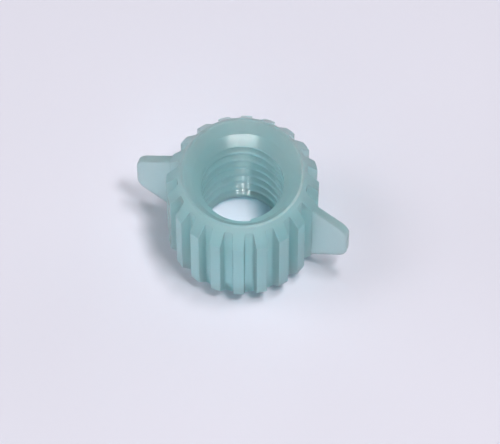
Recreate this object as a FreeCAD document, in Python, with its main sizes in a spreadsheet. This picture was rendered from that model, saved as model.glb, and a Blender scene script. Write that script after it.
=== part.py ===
import FreeCAD
import Part
import Sketcher

import math
import os

# Driving dimensions in millimetres, degrees and counts
SIZES = [
    ("rib_diameter", "24.5"),
    ("nut_height", "22.7"),
    ("rib_count", "20"),
    ("rib_width", "1.75"),
    ("rib_draft", "3"),
    ("rib_end_rise", "3.55"),
    ("rib_edge_round", "0.15"),
    ("groove_depth", "1.8"),
    ("groove_corner_round", "0.3"),
    ("foot_diameter", "19.7"),
    ("mouth_diameter", "18.9"),
    ("mouth_depth", "2"),
    ("rim_land", "0.4"),
    ("rim_edge_round", "0.15"),
    ("thread_major_diameter", "16"),
    ("thread_depth", "1.35"),
    ("thread_pitch", "2.5"),
    ("thread_crest_width", "0.6"),
    ("thread_crest_round", "0.4"),
    ("thread_crest_trim", "0.02"),
    ("thread_root_width", "0.4"),
    ("thread_start_drop", "2.9"),
    ("lead_in_clearance", "0.1"),
    ("lead_in_rise", "1.5"),
    ("wing_span", "36.4"),
    ("wing_thickness", "1.4"),
    ("wing_tip_height", "7.6"),
    ("wing_root_drop", "0.1"),
    ("wing_corner_round", "3"),
    ("wing_edge_round", "0.3"),
]

# Places that several features share, worked out from the sheet
RIB_RADIUS = "(sizes.rib_diameter / 2)"
FLOOR_RADIUS = "(sizes.rib_diameter / 2 - sizes.groove_depth)"
MOUTH_RADIUS = "(sizes.mouth_diameter / 2)"
RIM_RADIUS = "(sizes.mouth_diameter / 2 + sizes.rim_land)"
CREST_RADIUS = "(sizes.thread_major_diameter / 2 - sizes.thread_depth)"
MAJOR_RADIUS = "(sizes.thread_major_diameter / 2)"
LEAD_IN_RADIUS = "(sizes.thread_major_diameter / 2 + sizes.lead_in_clearance)"
RIB_TOP = "(sizes.nut_height - sizes.rib_end_rise)"
LEAD_IN_TOP = "(sizes.nut_height - sizes.mouth_depth)"
LEAD_IN_FOOT = "(sizes.nut_height - sizes.mouth_depth - sizes.lead_in_rise)"
HALF_PITCH_ANGLE = "(180 / sizes.rib_count)"
WING_TIP = "(sizes.wing_span / 2)"
WING_ROOT_LOW = "(sizes.rib_end_rise + sizes.wing_root_drop)"
WING_ROOT_HIGH = "(sizes.nut_height - sizes.rib_end_rise - sizes.wing_root_drop)"
WING_TIP_LOW = "(sizes.nut_height / 2 - sizes.wing_tip_height / 2)"
WING_TIP_HIGH = "(sizes.nut_height / 2 + sizes.wing_tip_height / 2)"

# How near an edge has to lie to the place where it is looked for
TOUCH = 0.01

doc = FreeCAD.newDocument("winged_nut_model")
sheet = doc.addObject("Spreadsheet::Sheet", "sizes")
for row, (alias, number) in enumerate(SIZES, start=1):
    sheet.set(f"A{row}", alias)
    sheet.set(f"B{row}", number)
    sheet.setAlias(f"B{row}", alias)
doc.recompute()


def size(text):
    """Value of an expression in the sheet's aliases."""
    value = sheet.evalExpression(text)
    return float(getattr(value, "Value", value))


def origin_part(body, role):
    """Plane or axis of the body's own origin."""
    return next(part for part in body.Origin.OriginFeatures if part.Role == role)


def new_sketch(body, name, plane):
    """Empty sketch lying in one of the body's origin planes."""
    sketch = body.newObject("Sketcher::SketchObject", name)
    sketch.AttachmentSupport = [(origin_part(body, plane), "")]
    sketch.MapMode = "FlatFace"
    return sketch


def hold(sketch, span, point, name, across, up):
    """Bind one end point of a span to two expressions, measured from the sketch's origin."""
    for kind, axis, text in (("DistanceX", -2, across), ("DistanceY", -1, up)):
        if text == "0":
            sketch.addConstraint(Sketcher.Constraint("PointOnObject", span, point, axis))
            continue
        index = sketch.addConstraint(Sketcher.Constraint(kind, -1, 1, span, point, size(text)))
        sketch.renameConstraint(index, f"{name}_{kind}")
        sketch.setExpression(f"Constraints.{name}_{kind}", text)


def draw_arc(sketch, name, start, end, centre, radius):
    """Arc about a centre with its radius bound to an expression, and the numbers of its start and end."""
    middle = FreeCAD.Vector(size(centre[0]), size(centre[1]), 0)
    turns = [math.atan2(point.y - middle.y, point.x - middle.x) for point in (start, end)]
    runs_back = (start - middle).cross(end - middle).z < 0
    if runs_back:
        turns.reverse()
    circle = Part.Circle(middle, FreeCAD.Vector(0, 0, 1), size(radius))
    span = sketch.addGeometry(Part.ArcOfCircle(circle, *turns))
    index = sketch.addConstraint(Sketcher.Constraint("Radius", span, size(radius)))
    sketch.renameConstraint(index, f"{name}_Radius")
    sketch.setExpression(f"Constraints.{name}_Radius", radius)
    return (span, 2, 1) if runs_back else (span, 1, 2)


def draw_outline(sketch, corners, arcs=None):
    """Closed outline through named corners, with arcs after the corners that have one."""
    points = [FreeCAD.Vector(size(across), size(up), 0) for _, across, up in corners]
    spans = []
    for (name, _, _), start, end in zip(corners, points, points[1:] + points[:1]):
        if arcs and name in arcs:
            spans.append(draw_arc(sketch, name, start, end, *arcs[name]))
        else:
            spans.append((sketch.addGeometry(Part.LineSegment(start, end)), 1, 2))
    for (span, _, last), (following, first, _) in zip(spans, spans[1:] + spans[:1]):
        sketch.addConstraint(Sketcher.Constraint("Coincident", span, last, following, first))
    for (span, first, _), (name, across, up) in zip(spans, corners):
        hold(sketch, span, first, name, across, up)


def round_edges(body, name, radius, wanted):
    """Round those edges of the body's shape for which wanted is true."""
    doc.recompute()
    base = body.Tip
    names = [f"Edge{i}" for i, edge in enumerate(base.Shape.Edges, start=1) if wanted(edge)]
    fillet = body.newObject("PartDesign::Fillet", name)
    fillet.Base = (base, names)
    fillet.setExpression("Radius", f"sizes.{radius}")
    return fillet


def is_upright(edge):
    """True for a straight edge along the nut's axis."""
    return isinstance(edge.Curve, Part.Line) and abs(abs(edge.Curve.Direction.z) - 1) < TOUCH


def distance_from_axis(point):
    """Distance of a point from the nut's axis."""
    return (point.x ** 2 + point.y ** 2) ** 0.5


def turn_body(body):
    """Turn the nut's outside, with a slope at either end of the ribs."""
    section = new_sketch(body, "outside_section", "XZ_Plane")
    draw_outline(section, [
        ("foot_centre", "0", "0"),
        ("foot_edge", "sizes.foot_diameter / 2", "0"),
        ("rib_low", RIB_RADIUS, "sizes.rib_end_rise"),
        ("rib_high", RIB_RADIUS, RIB_TOP),
        ("rim_edge", RIM_RADIUS, "sizes.nut_height"),
        ("rim_centre", "0", "sizes.nut_height"),
    ])
    turned = body.newObject("PartDesign::Revolution", "turned_body")
    turned.Profile = section
    turned.ReferenceAxis = (origin_part(body, "Z_Axis"), [""])
    turned.Angle = 360


def join_wings(body, wings):
    """Melt the wing plate into the two ribs that it runs through."""
    joined = body.newObject("PartDesign::Boolean", "joined_wings")
    joined.Type = "Fuse"
    joined.addObject(wings)
    body.Tip = joined


def bore_through(body):
    """Turn out the funnel mouth, the lead-in and the bore down to the thread's crests."""
    section = new_sketch(body, "bore_section", "XZ_Plane")
    draw_outline(section, [
        ("foot_centre", "0", "0"),
        ("bore_foot", CREST_RADIUS, "0"),
        ("lead_in_foot", CREST_RADIUS, LEAD_IN_FOOT),
        ("lead_in_top", LEAD_IN_RADIUS, LEAD_IN_TOP),
        ("mouth_edge", MOUTH_RADIUS, "sizes.nut_height"),
        ("mouth_centre", "0", "sizes.nut_height"),
    ])
    bore = body.newObject("PartDesign::Groove", "bore")
    bore.Profile = section
    bore.ReferenceAxis = (origin_part(body, "Z_Axis"), [""])
    bore.Angle = 360


def round_rim(body):
    """Round the edges that run around the rim and the mouth."""
    rim_radii = (size(RIM_RADIUS), size(MOUTH_RADIUS))
    top = size("sizes.nut_height")

    def on_rim(edge):
        if not isinstance(edge.Curve, Part.Circle) or abs(edge.Curve.Center.z - top) > TOUCH:
            return False
        return any(abs(edge.Curve.Radius - radius) < TOUCH for radius in rim_radii)

    round_edges(body, "rounded_rim", "rim_edge_round", on_rim)


def cut_grooves(body):
    """Cut the straight grooves that leave the ribs standing."""
    groove = new_sketch(body, "groove_outline", "XY_Plane")
    groove.AttachmentOffset = FreeCAD.Placement(
        FreeCAD.Vector(), FreeCAD.Rotation(FreeCAD.Vector(0, 0, 1), size(HALF_PITCH_ANGLE)))
    groove.setExpression("AttachmentOffset.Rotation.Angle", HALF_PITCH_ANGLE)
    half_rib = "sizes.rib_width / 2"
    lip_out = f"({RIB_RADIUS} * cos({HALF_PITCH_ANGLE}) + {half_rib} * sin({HALF_PITCH_ANGLE}))"
    lip_half = f"({RIB_RADIUS} * sin({HALF_PITCH_ANGLE}) - {half_rib} * cos({HALF_PITCH_ANGLE}))"
    flare = f"tan({HALF_PITCH_ANGLE} + sizes.rib_draft)"
    floor_half = f"({lip_half} - ({lip_out} - {FLOOR_RADIUS}) * {flare})"
    open_end = f"({RIB_RADIUS} + sizes.groove_depth)"
    open_half = f"({lip_half} + ({open_end} - {lip_out}) * {flare})"
    draw_outline(groove, [
        ("floor_right", FLOOR_RADIUS, f"-{floor_half}"),
        ("open_right", open_end, f"-{open_half}"),
        ("open_left", open_end, open_half),
        ("floor_left", FLOOR_RADIUS, floor_half),
    ])
    cut = body.newObject("PartDesign::Pocket", "groove")
    cut.Profile = groove
    cut.Type = "ThroughAll"
    cut.Midplane = True
    ring = body.newObject("PartDesign::PolarPattern", "groove_ring")
    ring.Originals = [cut]
    ring.Axis = (origin_part(body, "Z_Axis"), [""])
    ring.Angle = 360
    ring.setExpression("Occurrences", "sizes.rib_count")
    body.Tip = ring
    doc.recompute()
    floor_corner = (size(FLOOR_RADIUS) ** 2 + size(floor_half) ** 2) ** 0.5

    def in_groove_corner(edge):
        return is_upright(edge) and all(
            abs(distance_from_axis(vertex.Point) - floor_corner) < TOUCH for vertex in edge.Vertexes)

    round_edges(body, "rounded_groove_corners", "groove_corner_round", in_groove_corner)


def round_ribs(body):
    """Round the long outer edges of the ribs."""
    rib_radius = size(RIB_RADIUS)

    def on_rib_side(edge):
        return is_upright(edge) and all(
            abs(distance_from_axis(vertex.Point) - rib_radius) < TOUCH for vertex in edge.Vertexes)

    round_edges(body, "rounded_rib_sides", "rib_edge_round", on_rib_side)


def draw_wings(body):
    """Plate that runs across the whole nut, with a rounded wing at either end."""
    outline = new_sketch(body, "wing_outline", "XZ_Plane")
    draw_outline(outline, [
        ("right_root_low", RIB_RADIUS, WING_ROOT_LOW),
        ("right_tip_low", WING_TIP, WING_TIP_LOW),
        ("right_tip_high", WING_TIP, WING_TIP_HIGH),
        ("right_root_high", RIB_RADIUS, WING_ROOT_HIGH),
        ("left_root_high", f"-{RIB_RADIUS}", WING_ROOT_HIGH),
        ("left_tip_high", f"-{WING_TIP}", WING_TIP_HIGH),
        ("left_tip_low", f"-{WING_TIP}", WING_TIP_LOW),
        ("left_root_low", f"-{RIB_RADIUS}", WING_ROOT_LOW),
    ])
    plate = body.newObject("PartDesign::Pad", "wing_plate")
    plate.Profile = outline
    plate.setExpression("Length", "sizes.wing_thickness")
    plate.Midplane = True
    tip = size(WING_TIP)
    side = size("sizes.wing_thickness / 2")

    def at_tip_corner(edge):
        ends = [vertex.Point for vertex in edge.Vertexes]
        return all(abs(abs(end.x) - tip) < TOUCH for end in ends) and abs(ends[0].z - ends[1].z) < TOUCH

    def on_outline(edge):
        return all(abs(abs(vertex.Y) - side) < TOUCH for vertex in edge.Vertexes) and (
            abs(edge.Vertexes[0].Y - edge.Vertexes[-1].Y) < TOUCH)

    round_edges(body, "rounded_wing_corners", "wing_corner_round", at_tip_corner)
    round_edges(body, "rounded_wing_edges", "wing_edge_round", on_outline)


def cut_thread(body):
    """Cut a right-handed thread groove with rounded crests from below the foot to the lead-in."""
    groove = new_sketch(body, "thread_outline", "XZ_Plane")
    groove.AttachmentOffset = FreeCAD.Placement(
        FreeCAD.Vector(0, -size("sizes.thread_start_drop"), 0), FreeCAD.Rotation())
    groove.setExpression("AttachmentOffset.Base.y", "-sizes.thread_start_drop")
    root_half = "(sizes.thread_root_width / 2)"
    opening_half = "((sizes.thread_pitch - sizes.thread_crest_width) / 2)"
    flank_run = f"(({opening_half} - {root_half}) / sizes.thread_depth)"
    flank_length = f"sqrt(1 + {flank_run} ^ 2)"
    # The rounding touches the flank and a cylinder that lies the trim inside the bore
    touch_radius = f"({CREST_RADIUS} - sizes.thread_crest_trim)"
    corner_half = f"({opening_half} + {flank_run} * sizes.thread_crest_trim)"
    reach = f"(sizes.thread_crest_round * ({flank_length} - {flank_run}))"
    flank_end = f"({touch_radius} + {reach} / {flank_length})"
    flank_end_half = f"({corner_half} - {reach} * {flank_run} / {flank_length})"
    mouth_half = f"({corner_half} + {reach})"
    inner = f"({touch_radius} - sizes.thread_crest_width)"
    middle = f"({touch_radius} + sizes.thread_crest_round)"
    draw_outline(groove, [
        ("inner_low", inner, f"-{mouth_half}"),
        ("crest_low", touch_radius, f"-{mouth_half}"),
        ("flank_low", flank_end, f"-{flank_end_half}"),
        ("root_low", MAJOR_RADIUS, f"-{root_half}"),
        ("root_high", MAJOR_RADIUS, root_half),
        ("flank_high", flank_end, flank_end_half),
        ("crest_high", touch_radius, mouth_half),
        ("inner_high", inner, mouth_half),
    ], {
        "crest_low": ((middle, f"-{mouth_half}"), "sizes.thread_crest_round"),
        "flank_high": ((middle, mouth_half), "sizes.thread_crest_round"),
    })
    thread = body.newObject("PartDesign::SubtractiveHelix", "thread")
    thread.Profile = groove
    thread.ReferenceAxis = (origin_part(body, "Z_Axis"), [""])
    thread.Mode = 0
    thread.setExpression("Pitch", "sizes.thread_pitch")
    thread.setExpression("Height", f"{LEAD_IN_FOOT} + sizes.thread_start_drop")


wing_plate = doc.addObject("PartDesign::Body", "wing_plate_body")
draw_wings(wing_plate)
nut = doc.addObject("PartDesign::Body", "winged_nut")
nut.Label = "winged_nut"
nut.Placement = FreeCAD.Placement()
turn_body(nut)
cut_grooves(nut)
round_ribs(nut)
join_wings(nut, wing_plate)
bore_through(nut)
round_rim(nut)
cut_thread(nut)
doc.recompute()

failed = [item.Name for item in doc.Objects if {"Invalid", "Error"} & set(item.State)]
if failed:
    raise RuntimeError(f"features that failed: {failed}")
os.makedirs("parts", exist_ok=True)
for piece in (nut,):
    if piece.Shape.isNull() or not piece.Shape.isValid():
        raise RuntimeError(f"{piece.Label} has no valid shape")
    piece.Shape.exportStep(f"parts/{piece.Label}.step")
    print(piece.Label, len(piece.Shape.Solids), round(piece.Shape.Volume, 2), piece.Shape.BoundBox)
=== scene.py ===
"""Looks of a moulded plastic wing nut that stands on a pale table under soft light."""

import logging
import math
from dataclasses import dataclass
from enum import Enum

import bmesh
import bpy
from mathutils import Matrix, Vector

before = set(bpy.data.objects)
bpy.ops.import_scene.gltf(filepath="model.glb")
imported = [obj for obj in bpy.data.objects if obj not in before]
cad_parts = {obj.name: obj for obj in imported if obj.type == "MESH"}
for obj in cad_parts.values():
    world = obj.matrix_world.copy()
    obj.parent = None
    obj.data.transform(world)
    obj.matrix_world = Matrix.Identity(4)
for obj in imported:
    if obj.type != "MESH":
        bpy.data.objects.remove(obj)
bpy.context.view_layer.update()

LOG = logging.getLogger("winged_nut")
IMAGE_WIDTH = 500
SENSOR_WIDTH = 36.0

Tint = tuple[float, float, float]


class LampShape(Enum):
    """Outline of a lamp's glowing face."""

    PANEL = "RECTANGLE"
    OVAL = "ELLIPSE"


def opaque(tint: Tint) -> tuple[float, float, float, float]:
    """Give a tint the full cover that a colour socket asks for."""
    return (*tint, 1.0)


def heading(azimuth: float, elevation: float) -> Vector:
    """Work out a direction away from the nut.

    Args:
        azimuth: Degrees round the thread's axis, from the front towards the right.
        elevation: Degrees above the table.

    Returns:
        The direction as a vector of length one.
    """
    turn, rise = math.radians(azimuth), math.radians(elevation)
    reach = math.cos(rise)
    return Vector((math.sin(turn) * reach, -math.cos(turn) * reach, math.sin(rise)))


@dataclass(frozen=True)
class CloudyTint:
    """Soft clouds between two tints, an effect that both finishes share as one node group."""

    low: Tint
    high: Tint
    scale: float
    detail: float
    group_name: str = "cloudy_tint"

    def group(self) -> bpy.types.NodeTree:
        """Fetch the node group, which is built on its first use.

        Returns:
            The group, with the tint and the clouds' mask as its outputs.
        """
        if self.group_name in bpy.data.node_groups:
            return bpy.data.node_groups[self.group_name]
        group = bpy.data.node_groups.new(self.group_name, "ShaderNodeTree")
        for label, side, kind in (
            ("Low Tint", "INPUT", "NodeSocketColor"),
            ("High Tint", "INPUT", "NodeSocketColor"),
            ("Scale", "INPUT", "NodeSocketFloat"),
            ("Detail", "INPUT", "NodeSocketFloat"),
            ("Tint", "OUTPUT", "NodeSocketColor"),
            ("Cloud", "OUTPUT", "NodeSocketFloat"),
        ):
            group.interface.new_socket(label, in_out=side, socket_type=kind)
        nodes, links = group.nodes, group.links
        given = nodes.new("NodeGroupInput")
        result = nodes.new("NodeGroupOutput")
        place = nodes.new("ShaderNodeTexCoord")
        cloud = nodes.new("ShaderNodeTexNoise")
        links.new(place.outputs["Object"], cloud.inputs["Vector"])
        links.new(given.outputs["Scale"], cloud.inputs["Scale"])
        links.new(given.outputs["Detail"], cloud.inputs["Detail"])
        tint = nodes.new("ShaderNodeMix")
        tint.data_type = "RGBA"
        links.new(cloud.outputs["Fac"], tint.inputs["Factor"])
        links.new(given.outputs["Low Tint"], tint.inputs["A"])
        links.new(given.outputs["High Tint"], tint.inputs["B"])
        links.new(tint.outputs["Result"], result.inputs["Tint"])
        links.new(cloud.outputs["Fac"], result.inputs["Cloud"])
        return group

    def place(self, nodes: bpy.types.Nodes) -> bpy.types.Node:
        """Put the group into a material with this finish's own values.

        Args:
            nodes: The nodes of the material.

        Returns:
            The placed group.
        """
        clouds = nodes.new("ShaderNodeGroup")
        clouds.node_tree = self.group()
        clouds.inputs["Low Tint"].default_value = opaque(self.low)
        clouds.inputs["High Tint"].default_value = opaque(self.high)
        clouds.inputs["Scale"].default_value = self.scale
        clouds.inputs["Detail"].default_value = self.detail
        return clouds


@dataclass(frozen=True)
class MilkyPlastic:
    """Milky teal plastic that lets light soak through its thin parts."""

    name: str = "milky_plastic"
    clouds: CloudyTint = CloudyTint((0.73, 0.955, 0.97), (0.76, 0.975, 0.985), 140.0, 3.0)
    refraction: float = 1.5
    soak_weight: float = 1.0
    soak_depth: float = 0.012
    soak_share: Tint = (1.0, 1.0, 1.0)
    clear_share: float = 0.72
    low_roughness: float = 0.35
    high_roughness: float = 0.45
    shine_level: float = 0.12
    skin_weight: float = 0.25
    skin_roughness: float = 0.08
    body_tint: Tint = (0.42, 0.93, 0.95)
    body_density: float = 110.0
    grain_scale: float = 2600.0
    grain_height: float = 0.000012

    def build(self) -> bpy.types.Material:
        """Build the plastic's shader.

        Returns:
            The finished material.
        """
        material = bpy.data.materials.new(self.name)
        material.use_nodes = True
        nodes, links = material.node_tree.nodes, material.node_tree.links
        shader = nodes["Principled BSDF"]
        shader.subsurface_method = "RANDOM_WALK"
        shader.inputs["IOR"].default_value = self.refraction
        shader.inputs["Subsurface Weight"].default_value = self.soak_weight
        shader.inputs["Subsurface Radius"].default_value = self.soak_share
        shader.inputs["Subsurface Scale"].default_value = self.soak_depth
        shader.inputs["Transmission Weight"].default_value = self.clear_share
        shader.inputs["Specular IOR Level"].default_value = self.shine_level
        shader.inputs["Coat Weight"].default_value = self.skin_weight
        shader.inputs["Coat Roughness"].default_value = self.skin_roughness
        body = nodes.new("ShaderNodeVolumeAbsorption")
        body.inputs["Color"].default_value = opaque(self.body_tint)
        body.inputs["Density"].default_value = self.body_density
        links.new(body.outputs["Volume"], nodes["Material Output"].inputs["Volume"])
        clouds = self.clouds.place(nodes)
        links.new(clouds.outputs["Tint"], shader.inputs["Base Color"])
        gloss = nodes.new("ShaderNodeMapRange")
        gloss.inputs["To Min"].default_value = self.low_roughness
        gloss.inputs["To Max"].default_value = self.high_roughness
        links.new(clouds.outputs["Cloud"], gloss.inputs["Value"])
        links.new(gloss.outputs["Result"], shader.inputs["Roughness"])
        place = nodes.new("ShaderNodeTexCoord")
        grain = nodes.new("ShaderNodeTexNoise")
        grain.inputs["Scale"].default_value = self.grain_scale
        links.new(place.outputs["Object"], grain.inputs["Vector"])
        relief = nodes.new("ShaderNodeBump")
        relief.inputs["Distance"].default_value = self.grain_height
        links.new(grain.outputs["Fac"], relief.inputs["Height"])
        links.new(relief.outputs["Normal"], shader.inputs["Normal"])
        return material


@dataclass(frozen=True)
class TableTop:
    """Pale lavender-grey table with a faint unevenness."""

    name: str = "table_top"
    clouds: CloudyTint = CloudyTint((0.715, 0.695, 0.79), (0.735, 0.715, 0.81), 12.0, 2.0)
    roughness: float = 0.6

    def build(self) -> bpy.types.Material:
        """Build the table's shader.

        Returns:
            The finished material.
        """
        material = bpy.data.materials.new(self.name)
        material.use_nodes = True
        nodes, links = material.node_tree.nodes, material.node_tree.links
        shader = nodes["Principled BSDF"]
        shader.inputs["Roughness"].default_value = self.roughness
        clouds = self.clouds.place(nodes)
        links.new(clouds.outputs["Tint"], shader.inputs["Base Color"])
        return material


@dataclass
class WingedNut:
    """The moulded nut itself, which keeps its solid form and gets its finish here."""

    node: str = "winged_nut"
    plastic: MilkyPlastic = MilkyPlastic()

    def dress(self, nodes: dict[str, bpy.types.Object]) -> bpy.types.Object:
        """Give the nut its plastic.

        Args:
            nodes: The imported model's objects by name.

        Returns:
            The dressed object.
        """
        piece = nodes[self.node]
        piece.data.materials.clear()
        piece.data.materials.append(self.plastic.build())
        return piece


@dataclass
class Table:
    """The pale table under the nut."""

    name: str = "table"
    half_width: float = 1.5
    finish: TableTop = TableTop()

    def build(self) -> bpy.types.Object:
        """Model the table's top as a flat sheet under the foot.

        Returns:
            The table's object.
        """
        shape = bmesh.new()
        bmesh.ops.create_grid(shape, x_segments=1, y_segments=1, size=self.half_width)
        mesh = bpy.data.meshes.new(self.name)
        shape.to_mesh(mesh)
        shape.free()
        mesh.materials.append(self.finish.build())
        table = bpy.data.objects.new(self.name, mesh)
        bpy.context.scene.collection.objects.link(table)
        return table


@dataclass
class Lamp:
    """One lamp, placed by its direction from the nut, out of the camera's sight."""

    name: str
    azimuth: float
    elevation: float
    width: float
    height: float
    power: float
    distance: float = 0.6
    shape: LampShape = LampShape.PANEL
    gloss_only: bool = False

    def build(self, aim: Vector) -> bpy.types.Object:
        """Hang the lamp and turn it to the aim.

        Args:
            aim: The point that the lamp faces.

        Returns:
            The lamp's object.
        """
        data = bpy.data.lights.new(self.name, "AREA")
        data.shape = self.shape.value
        data.size = self.width
        data.size_y = self.height
        data.energy = self.power
        lamp = bpy.data.objects.new(self.name, data)
        lamp.visible_camera = False
        lamp.visible_diffuse = not self.gloss_only
        lamp.visible_transmission = not self.gloss_only
        away = heading(self.azimuth, self.elevation)
        lamp.location = aim + away * self.distance
        lamp.rotation_euler = (-away).to_track_quat("-Z", "Y").to_euler()
        bpy.context.scene.collection.objects.link(lamp)
        return lamp


@dataclass
class Glint(Lamp):
    """An oval lamp that shows in the gloss alone."""

    shape: LampShape = LampShape.OVAL
    gloss_only: bool = True


@dataclass
class Studio:
    """Two bright panels high up, wide dim ones all round, glints for the gloss and a faint sky."""

    name: str = "studio"
    sky: Tint = (0.93, 0.93, 1.0)
    sky_strength: float = 0.02
    aim: tuple[float, float, float] = (0.0, 0.0, 0.011)

    def lamps(self) -> list[Lamp]:
        """List the lamps.

        Returns:
            Every lamp of the studio.
        """
        return [
            Lamp("key_panel", azimuth=114.0, elevation=79.5, width=0.1, height=0.08, power=1.18),
            Lamp("second_panel", azimuth=67.0, elevation=71.5, width=0.1, height=0.07, power=1.58),
            Lamp("side_panel", azimuth=291.2, elevation=54.0, width=0.2, height=0.2, power=0.62),
            Lamp("front_panel", azimuth=350.0, elevation=40.0, width=0.4, height=0.25, power=0.28),
            Lamp("low_left", azimuth=291.2, elevation=20.0, width=0.5, height=0.3, power=0.68),
            Lamp("low_right", azimuth=146.0, elevation=20.0, width=0.5, height=0.3, power=0.52),
            Lamp("low_back", azimuth=221.2, elevation=20.0, width=0.6, height=0.3, power=0.38),
            Glint("front_strip", azimuth=21.2, elevation=30.4, width=0.64, height=0.06, power=4.4),
            Glint("rim_spot", azimuth=198.1, elevation=63.6, width=0.02, height=0.02, power=0.03),
            Glint("spot_left", azimuth=44.2, elevation=57.85, width=0.022, height=0.008, power=0.15),
            Glint("spot_middle", azimuth=31.7, elevation=58.65, width=0.022, height=0.008, power=0.18),
            Glint("spot_right", azimuth=18.5, elevation=58.75, width=0.022, height=0.008, power=0.16),
        ]

    def build(self) -> None:
        """Light the world and hang every lamp."""
        world = bpy.data.worlds.new(self.name)
        world.use_nodes = True
        back = world.node_tree.nodes["Background"]
        back.inputs["Color"].default_value = opaque(self.sky)
        back.inputs["Strength"].default_value = self.sky_strength
        bpy.context.scene.world = world
        for lamp in self.lamps():
            lamp.build(Vector(self.aim))
            LOG.info("lamp %s", lamp.name)


@dataclass
class ViewCamera:
    """The camera at the photograph's place, given about the nut's foot."""

    name: str = "view_camera"
    azimuth: float = 21.23
    elevation: float = 63.04
    distance: float = 0.735
    slide_right: float = 0.00119
    slide_up: float = 0.00242
    focal_pixels: float = 4480.4
    near_clip: float = 0.01
    far_clip: float = 10.0

    def build(self) -> bpy.types.Object:
        """Set the camera up and make it the scene's own.

        Returns:
            The camera's object.
        """
        turn = math.radians(self.azimuth)
        right = Vector((math.cos(turn), math.sin(turn), 0.0))
        back = heading(self.azimuth, self.elevation)
        up = back.cross(right)
        data = bpy.data.cameras.new(self.name)
        data.sensor_width = SENSOR_WIDTH
        data.lens = self.focal_pixels * SENSOR_WIDTH / IMAGE_WIDTH
        data.clip_start = self.near_clip
        data.clip_end = self.far_clip
        camera = bpy.data.objects.new(self.name, data)
        camera.location = back * self.distance + right * self.slide_right + up * self.slide_up
        camera.rotation_euler = Matrix((right, up, back)).transposed().to_euler()
        bpy.context.scene.collection.objects.link(camera)
        bpy.context.scene.camera = camera
        return camera


def main() -> None:
    """Build the scene in order and report each piece."""
    logging.basicConfig(level=logging.INFO, format="%(name)s: %(message)s")
    bpy.context.scene.view_settings.view_transform = "Standard"
    ViewCamera().build()
    LOG.info("camera ready")
    nut = WingedNut().dress(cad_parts)
    LOG.info("piece %s", nut.name)
    table = Table().build()
    LOG.info("stage %s", table.name)
    Studio().build()


if __name__ == "__main__":
    main()
